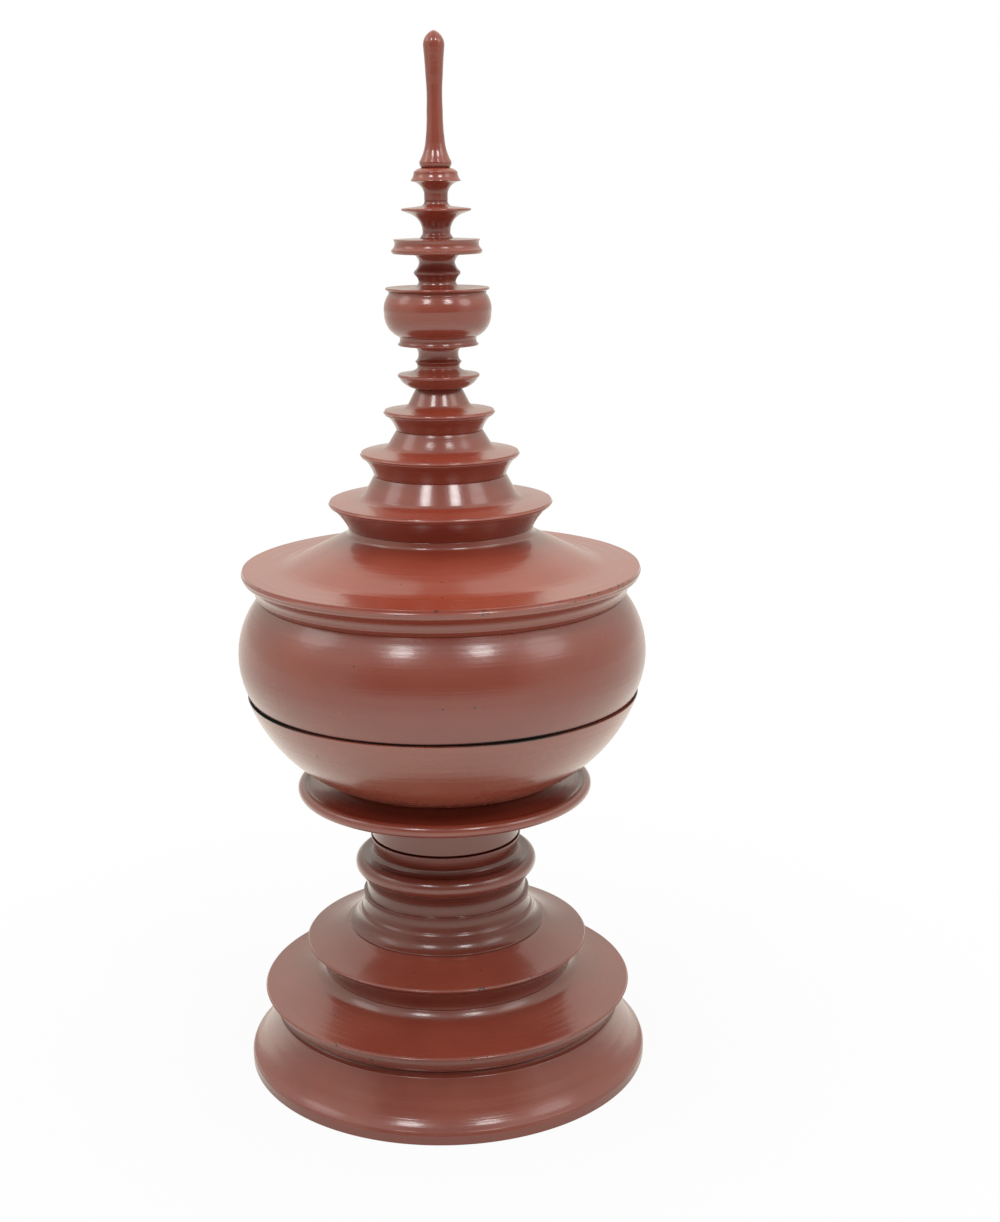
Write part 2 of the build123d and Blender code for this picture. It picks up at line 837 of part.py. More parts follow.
# Collar of the finial, with the tenon that lifts out of the spire
shoulder_z = collar_edge_z + shoulder_height
bud_bore_radius = bud_peg_radius + glue_line
bud_bore_z = bud_z - bud_peg_length - tenon_end_gap
with BuildPart() as finial_collar:
    with BuildSketch(Plane.XZ):
        with BuildLine():
            neck = Polyline(
                (0, finial_z - finial_tenon_length),
                (finial_tenon_radius, finial_z - finial_tenon_length),
                (finial_tenon_radius, finial_z),
                (disc_cap_radius, finial_z),
                (disc_cap_radius, collar_cone_z),
            )
            cone = SagittaArc(neck @ 1, (collar_edge_radius, collar_edge_z), collar_cone_cove)
            lip = Line(cone @ 1, (collar_edge_radius - 0.5 * lip_round, collar_edge_z + lip_round))
            shoulder = SagittaArc(lip @ 1, (shoulder_radius, shoulder_z), 0.5 * lip_round)
            crown = SagittaArc(shoulder @ 1, (bud_foot_radius, bud_z), -0.5 * lip_round)
            Polyline(
                crown @ 1,
                (bud_bore_radius, bud_z),
                (bud_bore_radius, bud_bore_z),
                (0, bud_bore_z),
                (0, finial_z - finial_tenon_length),
            )
        make_face()
    revolve(axis=Axis.Z)
save(finial_collar, "finial_collar")

# Bud at the very top
bud_peg_z = bud_z - bud_peg_length
with BuildPart() as finial_bud:
    with BuildSketch(Plane.XZ):
        with BuildLine():
            peg = Polyline(
                (0, bud_peg_z),
                (bud_peg_radius, bud_peg_z),
                (bud_peg_radius, bud_z),
                (bud_foot_radius, bud_z),
            )
            flare = SagittaArc(peg @ 1, (bud_flare_radius, bud_z + bud_flare_height), -0.5 * lip_round)
            outline = Spline(
                flare @ 1,
                (bud_waist_radius, bud_z + bud_waist_height),
                (bud_neck_radius, bud_z + bud_neck_height),
                (bud_head_radius, bud_z + bud_head_height),
                (0, bud_z + bud_height),
                tangents=((-0.5, 1), (-1, 0)),
            )
            Line(outline @ 1, peg @ 0)
        make_face()
    revolve(axis=Axis.Z)
save(finial_bud, "finial_bud")
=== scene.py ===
from math import atan, ceil, cos, hypot, radians, sin, tan, tau

import bmesh
import bpy
from mathutils import Matrix, Vector, noise


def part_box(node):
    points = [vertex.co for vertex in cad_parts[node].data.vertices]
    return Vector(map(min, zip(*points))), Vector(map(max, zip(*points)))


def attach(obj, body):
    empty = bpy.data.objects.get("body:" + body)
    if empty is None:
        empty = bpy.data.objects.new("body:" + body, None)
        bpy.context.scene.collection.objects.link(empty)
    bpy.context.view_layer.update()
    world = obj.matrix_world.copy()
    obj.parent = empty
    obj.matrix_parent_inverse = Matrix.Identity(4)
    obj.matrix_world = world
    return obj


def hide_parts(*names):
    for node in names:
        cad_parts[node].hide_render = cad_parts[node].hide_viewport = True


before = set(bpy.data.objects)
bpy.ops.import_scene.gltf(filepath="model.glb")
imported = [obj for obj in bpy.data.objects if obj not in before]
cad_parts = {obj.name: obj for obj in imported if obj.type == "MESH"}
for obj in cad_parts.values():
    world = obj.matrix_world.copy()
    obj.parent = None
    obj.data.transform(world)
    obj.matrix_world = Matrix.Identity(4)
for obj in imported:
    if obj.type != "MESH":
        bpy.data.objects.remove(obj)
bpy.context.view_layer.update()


# Foot ring. A hollow hoop of softwood turned on a lathe: an upright band at the floor, a sharp
# ridge, and a steep face, hollowed a little, up to a notch at the joint. Like every red piece it is
# primed with lacquer putty, then coated with lacquer mixed with cinnabar and polished.
MM = 0.001
FACETS = 224
FINEST_STEP = 5.0
SHARP = radians(28)
HAND = 0.0035
HAND_SCALE = 9.0


def span(node):
    """Lowest height, highest height and greatest radius of a CAD node, in millimetres."""
    low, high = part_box(node)
    return low[2] / MM, high[2] / MM, high[0] / MM


def pen(radius, height):
    """Start the half outline of a turned piece, at a radius and a height in millimetres."""
    outline = bmesh.new()
    outline.verts.new((radius * MM, 0, height * MM))
    return outline


def last(outline):
    outline.verts.ensure_lookup_table()
    return outline.verts[-1]


def line(outline, radius, height):
    """Draw a straight run to a radius and a height."""
    start = last(outline)
    run = Vector((radius * MM, 0, height * MM)) - start.co
    steps = max(1, ceil(run.length / (FINEST_STEP * MM)))
    bmesh.ops.spin(
        outline, geom=[start], cent=(0, 0, 0), axis=(0, 1, 0), angle=0, dvec=run / steps, steps=steps
    )
    return outline


def arc(outline, radius, height, bulge):
    """Draw an arc to a radius and a height. Its middle stands bulge to the left of the chord."""
    start = last(outline)
    end = Vector((radius * MM, 0, height * MM))
    chord = end - start.co
    rise = abs(bulge) * MM
    side = 1 if bulge > 0 else -1
    circle = (chord.length**2 / 4 + rise**2) / (2 * rise)
    left = Vector((-chord.z, 0, chord.x)).normalized()
    centre = (start.co + end) / 2 - side * left * (circle - rise)
    turn_by = 4 * atan(2 * rise / chord.length)
    steps = max(ceil(turn_by / radians(6)), ceil(circle * turn_by / (FINEST_STEP * MM)), 2)
    bmesh.ops.spin(
        outline, geom=[start], cent=centre, axis=(0, side, 0), angle=turn_by, dvec=(0, 0, 0), steps=steps
    )
    return outline


def soften(outline, size):
    """Round every sharp corner of an outline a little, as sanding and lacquer do."""
    corners = []
    for vertex in outline.verts:
        if len(vertex.link_edges) == 2:
            one, other = (edge.other_vert(vertex).co - vertex.co for edge in vertex.link_edges)
            if one.angle(-other) > SHARP:
                corners.append(vertex)
    for corner in corners:
        bmesh.ops.bevel(
            outline, geom=[corner], offset=size * MM, segments=3, profile=0.5, affect="VERTICES", material=-1
        )


def turned(outline, name, body, node, finish, soft=0.35, inside=None):
    """Spin an outline into a closed piece in place of a CAD node, and hang it on its body."""
    bmesh.ops.remove_doubles(outline, verts=outline.verts, dist=0.002 * MM)
    soften(outline, soft)
    bmesh.ops.spin(
        outline,
        geom=outline.verts[:] + outline.edges[:],
        cent=(0, 0, 0),
        axis=(0, 0, 1),
        angle=tau,
        steps=FACETS,
        use_merge=True,
    )
    poles = [vertex for vertex in outline.verts if hypot(vertex.co.x, vertex.co.y) < 0.01 * MM]
    bmesh.ops.remove_doubles(outline, verts=poles, dist=0.02 * MM)
    bmesh.ops.recalc_face_normals(outline, faces=outline.faces)
    for vertex in outline.verts:
        vertex.co.xy = vertex.co.xy * (1 + HAND * noise.noise(vertex.co * HAND_SCALE))
    for face in outline.faces:
        face.smooth = True
        if inside is not None and inside(face):
            face.material_index = 1
    mesh = bpy.data.meshes.new(name)
    outline.to_mesh(mesh)
    outline.free()
    for material in finish if isinstance(finish, tuple) else (finish,):
        mesh.materials.append(material)
    piece = bpy.data.objects.new(name, mesh)
    bpy.context.scene.collection.objects.link(piece)
    even = piece.modifiers.new("even gloss", "WEIGHTED_NORMAL")
    even.keep_sharp = True
    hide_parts(node)
    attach(piece, body)
    return piece


def new_group(name, inputs, outputs):
    """An empty shader group. Sockets are given as name: (kind, value), or as name: kind."""
    tree = bpy.data.node_groups.new(name, "ShaderNodeTree")
    for socket, (kind, value) in inputs.items():
        made = tree.interface.new_socket(socket, in_out="INPUT", socket_type="NodeSocket" + kind)
        made.default_value = value
    for socket, kind in outputs.items():
        tree.interface.new_socket(socket, in_out="OUTPUT", socket_type="NodeSocket" + kind)
    return tree, tree.nodes.new("NodeGroupInput").outputs, tree.nodes.new("NodeGroupOutput").inputs


def node(tree, kind, inputs, **settings):
    """Add a shader node. inputs gives, by socket name or number, a value or the socket to link."""
    made = tree.nodes.new("ShaderNode" + kind)
    for key, value in settings.items():
        setattr(made, key, value)
    for key, value in inputs.items():
        if isinstance(value, bpy.types.NodeSocket):
            tree.links.new(value, made.inputs[key])
        else:
            made.inputs[key].default_value = value
    return made.outputs


def maths(tree, operation, *values):
    return node(tree, "Math", dict(enumerate(values)), operation=operation)[0]


def distance(tree, one, other):
    """The length of a step that goes by one in one direction and by other square to it."""
    squares = maths(tree, "MULTIPLY", one, one), maths(tree, "MULTIPLY", other, other)
    return maths(tree, "SQRT", maths(tree, "ADD", *squares))


def ramp(tree, value, low, high, to_low=0.0, to_high=1.0):
    """A smooth step from to_low to to_high as value goes from low to high."""
    return node(
        tree, "MapRange", {0: value, 1: low, 2: high, 3: to_low, 4: to_high}, interpolation_type="SMOOTHSTEP"
    )[0]


def blend(tree, share, one, other):
    """Mix two colours."""
    return node(tree, "Mix", {0: share, 6: one, 7: other}, data_type="RGBA")[2]


def linear(red, green, blue):
    """A colour measured on screen from 0 to 255, as Blender's linear values."""
    shares = (channel / 255 for channel in (red, green, blue))
    values = (((share + 0.055) / 1.055) ** 2.4 if share > 0.04 else share / 12.92 for share in shares)
    return (*values, 1.0)


MEAN_RADIUS = 0.085


def build_turning_marks():
    """Fine rings left by the lathe and the brush, slow clouds in the coat, and a few dark specks."""
    tree, given, result = new_group(
        "Turning marks",
        {"Rings": ("Float", 1.0), "Clouds": ("Float", 1.0)},
        {"Ring": "Float", "Cloud": "Float", "Height": "Float", "Speck": "Float"},
    )
    place = node(tree, "TexCoord", {})["Object"]
    x, y, z = node(tree, "SeparateXYZ", {0: place})
    radius = distance(tree, x, y)
    drift = node(tree, "TexNoise", {"Vector": place, "Scale": 11.0, "Detail": 1.0})[0]
    across = node(tree, "CombineXYZ", {0: radius, 1: z, 2: maths(tree, "MULTIPLY", drift, 0.004)})[0]
    rings = node(tree, "TexNoise", {"Vector": across, "Scale": 620.0, "Detail": 3.0, "Roughness": 0.6})[0]
    coils = node(tree, "TexNoise", {"Vector": across, "Scale": 210.0, "Detail": 1.0})[0]
    cloud = node(tree, "TexNoise", {"Vector": place, "Scale": 24.0, "Detail": 4.0, "Roughness": 0.55})[0]
    grain = node(tree, "TexNoise", {"Vector": place, "Scale": 900.0, "Detail": 2.0})[0]
    ring = maths(tree, "MULTIPLY", maths(tree, "SUBTRACT", rings, 0.5), given["Rings"])
    coil = maths(tree, "MULTIPLY", maths(tree, "SUBTRACT", coils, 0.5), given["Rings"])
    ripple = maths(tree, "MULTIPLY", maths(tree, "SUBTRACT", cloud, 0.5), 2.0)
    height = maths(tree, "MULTIPLY_ADD", coil, 2.5, ring)
    height = maths(tree, "MULTIPLY_ADD", maths(tree, "SUBTRACT", grain, 0.5), 0.25, height)
    angle = maths(tree, "ARCTAN2", x, maths(tree, "MULTIPLY", y, -1.0))
    around = maths(tree, "MULTIPLY", angle, MEAN_RADIUS)
    wall = node(tree, "CombineXYZ", {0: around, 1: maths(tree, "SUBTRACT", z, radius)})[0]
    cells = node(tree, "TexVoronoi", {"Vector": wall, "Scale": 85.0}, voronoi_dimensions="2D")
    chosen = maths(tree, "GREATER_THAN", node(tree, "SeparateColor", {0: cells["Color"]})[0], 0.955)
    speck = maths(tree, "MULTIPLY", chosen, ramp(tree, cells["Distance"], 0.03, 0.055, 1.0, 0.0))
    tree.links.new(speck, result["Speck"])
    tree.links.new(ring, result["Ring"])
    tree.links.new(maths(tree, "MULTIPLY", ripple, given["Clouds"]), result["Cloud"])
    tree.links.new(height, result["Height"])
    return tree


def build_worn_edge():
    """Small chips along the edge of a disc that stands at a radius and a height, in metres."""
    tree, given, result = new_group(
        "Worn edge",
        {"Radius": ("Float", 0.1), "Height": ("Float", 0.1), "Reach": ("Float", 0.0016)},
        {"Chip": "Float", "Pale": "Float"},
    )
    place = node(tree, "TexCoord", {})["Object"]
    x, y, z = node(tree, "SeparateXYZ", {0: place})
    radius = distance(tree, x, y)
    out = maths(tree, "SUBTRACT", radius, given["Radius"])
    up = maths(tree, "SUBTRACT", z, given["Height"])
    off = distance(tree, out, up)
    near = ramp(tree, maths(tree, "DIVIDE", off, given["Reach"]), 0.4, 1.0, 1.0, 0.0)
    flakes = node(tree, "TexNoise", {"Vector": place, "Scale": 240.0, "Detail": 3.0, "Roughness": 0.6})[0]
    runs = node(tree, "TexNoise", {"Vector": place, "Scale": 30.0, "Detail": 1.0})[0]
    chip = maths(tree, "MULTIPLY", ramp(tree, flakes, 0.6, 0.64), ramp(tree, runs, 0.45, 0.6))
    tree.links.new(maths(tree, "MULTIPLY", near, chip), result["Chip"])
    tree.links.new(ramp(tree, flakes, 0.69, 0.72), result["Pale"])
    return tree


turning_marks = build_turning_marks()
worn_edge = build_worn_edge()

CINNABAR = linear(136, 55, 40)
CINNABAR_LIGHT = linear(147, 66, 45)
CINNABAR_DEEP = linear(108, 43, 35)
PUTTY_DARK = linear(46, 27, 23)
PUTTY_PALE = linear(160, 108, 84)
SEAM_BLACK = linear(30, 20, 18)


def red_lacquer(
    name,
    tone=CINNABAR,
    light=CINNABAR_LIGHT,
    deep=CINNABAR_DEEP,
    rings=1.0,
    dull=0.0,
    edges=(),
    seam=None,
    ior=1.7,
):
    """Polished cinnabar lacquer: a deep red body under a clear, slightly uneven gloss.

    edges lists the radius and height of each worn edge, in millimetres. seam is the height of a
    joint, and how far near-black runs out from it over the red here and there.
    """
    material = bpy.data.materials.new(name)
    material.use_nodes = True
    tree = material.node_tree
    shader = tree.nodes["Principled BSDF"]
    marks = node(tree, "Group", {"Rings": rings}, node_tree=turning_marks)
    colour = blend(tree, ramp(tree, marks["Cloud"], -0.6, 0.6), tone, light)
    colour = blend(tree, ramp(tree, marks["Ring"], 0.05, 0.35, 0.0, 0.4), colour, deep)
    colour = blend(tree, marks["Speck"], colour, PUTTY_DARK)
    for radius, height in edges:
        wear = node(tree, "Group", {"Radius": radius * MM, "Height": height * MM}, node_tree=worn_edge)
        chipped = blend(tree, wear["Pale"], PUTTY_DARK, PUTTY_PALE)
        colour = blend(tree, wear["Chip"], colour, chipped)
    if seam is not None:
        height, reach = seam
        place = node(tree, "TexCoord", {})["Object"]
        z = node(tree, "SeparateXYZ", {0: place})[2]
        off = maths(tree, "ABSOLUTE", maths(tree, "SUBTRACT", z, height * MM))
        near = ramp(tree, off, 0.5 * reach * MM, reach * MM, 1.0, 0.0)
        patches = node(tree, "TexNoise", {"Vector": place, "Scale": 14.0, "Detail": 3.0})[0]
        seam_dark = maths(tree, "MULTIPLY", near, ramp(tree, patches, 0.4, 0.6))
        colour = blend(tree, seam_dark, colour, SEAM_BLACK)
    roughness = ramp(tree, marks["Cloud"], -0.5, 0.5, 0.19 + dull, 0.27 + dull)
    bump = node(tree, "Bump", {"Strength": 0.25, "Distance": 0.0004, "Height": marks["Height"]})[0]
    tree.links.new(colour, shader.inputs["Base Color"])
    tree.links.new(roughness, shader.inputs["Roughness"])
    tree.links.new(bump, shader.inputs["Normal"])
    shader.inputs["IOR"].default_value = ior
    shader.inputs["Coat Weight"].default_value = 0.25
    shader.inputs["Coat Roughness"].default_value = 0.08
    shader.inputs["Coat IOR"].default_value = 1.5
    return material


def black_lacquer(name):
    """Raw black lacquer, brushed thinly and left a little duller than the red."""
    material = bpy.data.materials.new(name)
    material.use_nodes = True
    tree = material.node_tree
    shader = tree.nodes["Principled BSDF"]
    marks = node(tree, "Group", {}, node_tree=turning_marks)
    colour = blend(tree, ramp(tree, marks["Cloud"], -0.3, 0.5), linear(24, 19, 18), linear(40, 26, 22))
    roughness = ramp(tree, marks["Ring"], -0.3, 0.3, 0.22, 0.42)
    bump = node(tree, "Bump", {"Strength": 0.25, "Distance": 0.0004, "Height": marks["Height"]})[0]
    tree.links.new(colour, shader.inputs["Base Color"])
    tree.links.new(roughness, shader.inputs["Roughness"])
    tree.links.new(bump, shader.inputs["Normal"])
    return material


red_wood = red_lacquer("Red lacquer on turned wood")
# Darker, browner and less glossy: partly the pedestal's own coat, partly painted shade from the bowl above.
SHADED_BASE_COAT = dict(tone=linear(121, 52, 40), light=linear(132, 62, 45), deep=linear(96, 40, 33), ior=1.62)
red_base_shaded = red_lacquer("Red lacquer on the base", **SHADED_BASE_COAT)
black_coat = black_lacquer("Black lacquer")

foot_bottom, foot_top, foot_radius = span("foot_ring")
foot_neck = foot_radius - 17.2
foot_band = 5.0
foot_ridge = 2.2
foot_hole = foot_neck - 7.0

outline = pen(foot_hole, foot_top)
line(outline, foot_hole, foot_top - 7.0)
line(outline, foot_radius - 10.0, foot_band)
line(outline, foot_radius - 10.0, foot_bottom)
line(outline, foot_radius, foot_bottom)
line(outline, foot_radius, foot_band)
line(outline, foot_radius - 0.5, foot_band + 0.7)
line(outline, foot_radius - 0.6, foot_band + 1.6)
line(outline, foot_radius - foot_ridge - 1.3, foot_band + foot_ridge + 1.2)
arc(outline, foot_neck + 2.6, foot_top - 1.8, 0.7)
arc(outline, foot_neck, foot_top, 0.3)
line(outline, foot_hole, foot_top)
turned(outline, "foot_ring_turned", "pedestal", "foot_ring", red_base_shaded)


# Lower tier of the base. A solid turned disc with a fat bead under a thin, sharp lip, and a top
# that falls in a slow hollow from the next joint out to the lip.
LIP = 2.6
LIP_STEP = 2.2
LIP_ROUND = 0.7
GLUE_LINE = 0.1


def lip(outline, radius, height, thickness=LIP, step=LIP_STEP):
    """Draw the thin edge of a disc, from its underside at a height to its top face."""
    line(outline, radius - LIP_ROUND, height + 0.25 * thickness)
    tip = 0.6 * thickness
    arc(outline, radius, height + tip, 0.16)
    arc(outline, radius - LIP_ROUND, height + thickness, 0.2)


stem_hole = 22.0 + GLUE_LINE
lower_bottom, lower_top, lower_radius = span("lower_base_tier")
lower_neck = foot_neck
lower_bead = 9.4
upper_neck = 66.5

# The tiers and the collar take the pedestal's coat, painted shade included, with worn edges added.
red_lower = red_lacquer(
    "Red lacquer on the lower tier", **SHADED_BASE_COAT, edges=[(lower_radius, lower_bottom + lower_bead + 2.0)]
)

outline = pen(stem_hole, lower_top)
line(outline, stem_hole, lower_bottom)
line(outline, lower_neck, lower_bottom)
arc(outline, lower_radius - LIP_STEP, lower_bottom + lower_bead, -1.2)
lip(outline, lower_radius, lower_bottom + lower_bead)
arc(outline, upper_neck + 5.0, lower_top - 4.7, 1.2)
arc(outline, upper_neck, lower_top, 0.6)
line(outline, stem_hole, lower_top)
turned(outline, "lower_tier_turned", "pedestal", "lower_base_tier", red_lower)


# Upper tier of the base. The same disc again, smaller, with a cove under its lip in place of the
# bead. The stem's tenon is glued through both discs.
upper_bottom, upper_top, upper_radius = span("upper_base_tier")
upper_cove = 12.8
skirt_radius = 52.3

red_upper = red_lacquer(
    "Red lacquer on the upper tier", **SHADED_BASE_COAT, edges=[(upper_radius, upper_bottom + upper_cove + 2.0)]
)

outline = pen(stem_hole, upper_top)
line(outline, stem_hole, upper_bottom)
line(outline, upper_neck, upper_bottom)
arc(outline, upper_radius - LIP_STEP, upper_bottom + upper_cove, 2.2)
lip(outline, upper_radius, upper_bottom + upper_cove)
arc(outline, skirt_radius, upper_top, 1.2)
line(outline, stem_hole, upper_top)
turned(outline, "upper_tier_turned", "pedestal", "upper_base_tier", red_upper)


# Stem. A waisted column turned in one piece with a skirt, a bead and two shallow bands, a long
# tenon below, and a peg above for the collar.
stem_bottom, stem_top, _ = span("pedestal_stem")
collar_bottom, collar_top, collar_radius = span("stem_collar")
stem_tenon = stem_hole - GLUE_LINE
stem_peg = 15.0
bead_radius = 46.9
bead_bottom = upper_top + 6.6
lower_band = bead_bottom + 3.0
upper_band = lower_band + 8.2
stem_head = 45.6

# Darker still: partly the stem's own coat, partly painted shade under the collar and the bowl.
red_stem_shaded = red_lacquer(
    "Red lacquer on the stem",
    tone=linear(100, 44, 34),
    light=linear(110, 52, 39),
    deep=linear(80, 34, 28),
    ior=1.5,
)

outline = pen(0, stem_bottom)
line(outline, stem_tenon, stem_bottom)
line(outline, stem_tenon, upper_top)
line(outline, skirt_radius, upper_top)
line(outline, skirt_radius, upper_top + 0.9)
arc(outline, bead_radius, bead_bottom, 0.9)
arc(outline, 45.2, lower_band, -0.4)
arc(outline, 44.5, upper_band, 0.7)
line(outline, 43.0, upper_band)
arc(outline, stem_head, collar_bottom, 1.4)
line(outline, stem_peg, collar_bottom)
line(outline, stem_peg, stem_top)
line(outline, 0, stem_top)
turned(outline, "stem_turned", "pedestal", "pedestal_stem", red_stem_shaded)


# Collar. A ring glued over the stem's peg, with a thick round lip and a trough behind it that turns
# up into the mouth. The foot of the bowl stands loose in its socket.
socket_floor = stem_top + 0.6
plug_radius = 31.0
socket_radius = plug_radius + 0.5
mouth_radius = socket_radius + 8.5
collar_lip = 9.4


def cove(outline, corner, toward, reach):
    """Draw up to a corner and round it on the hollow side, ready to run on toward a point."""
    corner, toward = Vector(corner), Vector(toward)
    start = Vector((last(outline).co.x, last(outline).co.z)) / MM
    before = corner + (start - corner).normalized() * reach
    after = corner + (toward - corner).normalized() * reach
    turn_by = (corner - start).angle(toward - corner)
    line(outline, *before)
    arc(outline, *after, (after - before).length / 2 * tan(turn_by / 4))


red_collar = red_lacquer("Red lacquer on the collar", **SHADED_BASE_COAT, edges=[(mouth_radius, collar_top)])

outline = pen(stem_peg + GLUE_LINE, collar_bottom)
line(outline, stem_head, collar_bottom)
arc(outline, collar_radius, collar_bottom + 0.5 * collar_lip, -0.78)
arc(outline, collar_radius - 3.7, collar_bottom + collar_lip, -0.97)
cove(outline, (37.0, collar_bottom + 8.0), (mouth_radius, collar_top), 4.7)
line(outline, mouth_radius, collar_top)
line(outline, socket_radius, collar_top)
line(outline, socket_radius, socket_floor)
line(outline, stem_peg + GLUE_LINE, socket_floor)
line(outline, stem_peg + GLUE_LINE, collar_bottom)
turned(outline, "collar_turned", "pedestal", "stem_collar", red_collar)


# Foot of the bowl. A plug that drops into the collar, with a plain band and a small bead above it,
# and a tenon that holds the saucer and the coiled bowl.
plug_bottom, plug_top, _ = span("bowl_foot")
saucer_bottom, saucer_top, saucer_radius = span("bowl_saucer")
band_radius = plug_radius + 8.2
band_bottom = collar_top + 0.8
saucer_neck = 42.4
bowl_tenon = 18.0

outline = pen(0, plug_bottom)
line(outline, plug_radius, plug_bottom)
line(outline, plug_radius, band_bottom)
line(outline, band_radius, band_bottom)
arc(outline, band_radius, saucer_bottom - 2.8, 0.3)
arc(outline, saucer_neck - 1.1, saucer_bottom, -1.1)
line(outline, bowl_tenon, saucer_bottom)
line(outline, bowl_tenon, plug_top)
line(outline, 0, plug_top)
turned(outline, "bowl_foot_turned", "bowl", "bowl_foot", red_base_shaded)


# Saucer. A flared disc with a rolled edge, glued on the tenon of the bowl's foot to carry the bowl.
bowl_bottom, bowl_top, bowl_radius = span("bowl_shell")
bowl_base = 60.0
roll_radius = 3.2
roll_middle = saucer_bottom + 13.9

outline = pen(bowl_tenon + GLUE_LINE, saucer_top)
line(outline, bowl_tenon + GLUE_LINE, saucer_bottom)
line(outline, saucer_neck, saucer_bottom)
arc(outline, saucer_radius - 0.5 * roll_radius, roll_middle - 0.866 * roll_radius, 0.7)
arc(outline, saucer_radius, roll_middle, -0.43)
arc(outline, saucer_radius - 5.82, roll_middle + 1.84, -2.24)
arc(outline, bowl_base, saucer_top, 1.6)
line(outline, bowl_tenon + GLUE_LINE, saucer_top)
turned(outline, "saucer_turned", "bowl", "bowl_saucer", red_wood)


# Bowl. Thin strips of bamboo wound in a coil and glued, filled with putty and lacquered red
# outside and black inside. A rebate at its mouth holds the seat hoop.
hoop_bottom, hoop_top, hoop_flange = span("bowl_rim")
hoop_radius = bowl_radius - 5.7
bowl_wall = 4.6
bowl_floor = bowl_bottom + 6.0
bowl_bulge = 6.4

# A little darker than the roof's red: partly the dome's own coat, partly painted shade.
red_coil_shaded = red_lacquer(
    "Red lacquer on the dome",
    tone=linear(127, 50, 36),
    light=linear(138, 61, 42),
    deep=linear(100, 40, 32),
    rings=0.7,
    dull=0.03,
    seam=(bowl_top + 0.6, 1.5),
)
# Lighter and greyer: partly the bowl's own coat, partly a painted reflection of the pale floor below.
red_bowl_painted_sheen = red_lacquer(
    "Red lacquer on the bowl",
    tone=linear(143, 70, 54),
    light=linear(151, 80, 60),
    deep=linear(119, 58, 46),
    rings=0.9,
    dull=0.05,
    seam=(bowl_top + 0.6, 1.5),
)


def faces_axis(face):
    """True for the faces of an open vessel that look inwards."""
    centre = face.calc_center_median()
    return face.normal.dot(Vector((centre.x, centre.y, 0)).normalized()) < -0.05


def inside_bowl(face):
    return faces_axis(face) or (face.normal.z > 0.5 and face.calc_center_median().z < hoop_bottom * MM)


outline = pen(0, bowl_bottom)
line(outline, bowl_base, bowl_bottom)
arc(outline, bowl_radius, bowl_top, -bowl_bulge)
line(outline, hoop_radius + GLUE_LINE, bowl_top)
line(outline, hoop_radius + GLUE_LINE, hoop_bottom)
line(outline, bowl_radius - bowl_wall - 3.0, hoop_bottom)
arc(outline, bowl_base + 4.0, bowl_floor, bowl_bulge - 1.0)
line(outline, 0, bowl_floor)
turned(
    outline, "bowl_coiled", "bowl", "bowl_shell", (red_bowl_painted_sheen, black_coat), inside=inside_bowl
)


# Seat hoop. A bent strip of split bamboo in black lacquer, glued in the bowl's mouth. The lid sits
# on its flange and the tray hangs on its top edge. It shows as the black line under the lid.
hoop_thickness = 2.4
lid_bottom, lid_top, _ = span("lid_dome")
hoop_inner = hoop_radius - hoop_thickness

outline = pen(hoop_inner, hoop_top)
line(outline, hoop_inner, hoop_bottom)
line(outline, hoop_radius, hoop_bottom)
line(outline, hoop_radius, bowl_top)
line(outline, hoop_flange, bowl_top)
line(outline, hoop_flange, lid_bottom)
line(outline, hoop_radius, lid_bottom)
line(outline, hoop_radius, hoop_top)
line(outline, hoop_inner, hoop_top)
turned(outline, "seat_hoop_bent", "bowl", "bowl_rim", black_coat, soft=0.25)


# Tray. A shallow pan of coiled bamboo in black lacquer, with a bent strip round its mouth that
# hangs it on the seat hoop.
tray_bottom, tray_top, tray_radius = span("tray_pan")
rim_bottom, rim_top, rim_radius = span("tray_rim")
tray_wall = 2.4
tray_floor = tray_bottom + 3.0

outline = pen(0, tray_bottom)
line(outline, tray_radius - 6.0, tray_bottom)
arc(outline, tray_radius, tray_bottom + 6.0, -1.75)
line(outline, tray_radius, tray_top)
line(outline, tray_radius - tray_wall, tray_top)
line(outline, tray_radius - tray_wall, tray_floor + 3.6)
arc(outline, tray_radius - tray_wall - 3.6, tray_floor, 1.05)
line(outline, 0, tray_floor)
turned(outline, "tray_coiled", "tray", "tray_pan", black_coat)

outline = pen(tray_radius - tray_wall, rim_top)
line(outline, tray_radius - tray_wall, rim_bottom)
line(outline, rim_radius, rim_bottom)
line(outline, rim_radius, rim_top)
line(outline, tray_radius - tray_wall, rim_top)
turned(outline, "tray_rim_bent", "tray", "tray_rim", black_coat, soft=0.5)


# Lid dome. Coiled bamboo like the bowl, with the fullest curve of the vessel. It drops over the
# seat hoop and carries the turned roof.
roof_bottom, roof_top, roof_radius = span("lid_roof")
lid_neck = roof_radius - 8.7
lid_bulge = 7.9
lid_rebate = lid_bottom + 11.0
lid_rebate_radius = hoop_radius + 0.5
dome_mouth = bowl_radius - 0.9

outline = pen(dome_mouth, lid_bottom)
arc(outline, lid_neck, lid_top, -lid_bulge)
line(outline, lid_neck - 5.2, lid_top)
arc(outline, lid_rebate_radius + 3.1, lid_rebate, lid_bulge - 1.2)
line(outline, lid_rebate_radius, lid_rebate)
line(outline, lid_rebate_radius, lid_bottom)
line(outline, dome_mouth, lid_bottom)
turned(
    outline, "lid_dome_coiled", "lid", "lid_dome", (red_coil_shaded, black_coat), inside=faces_axis
)


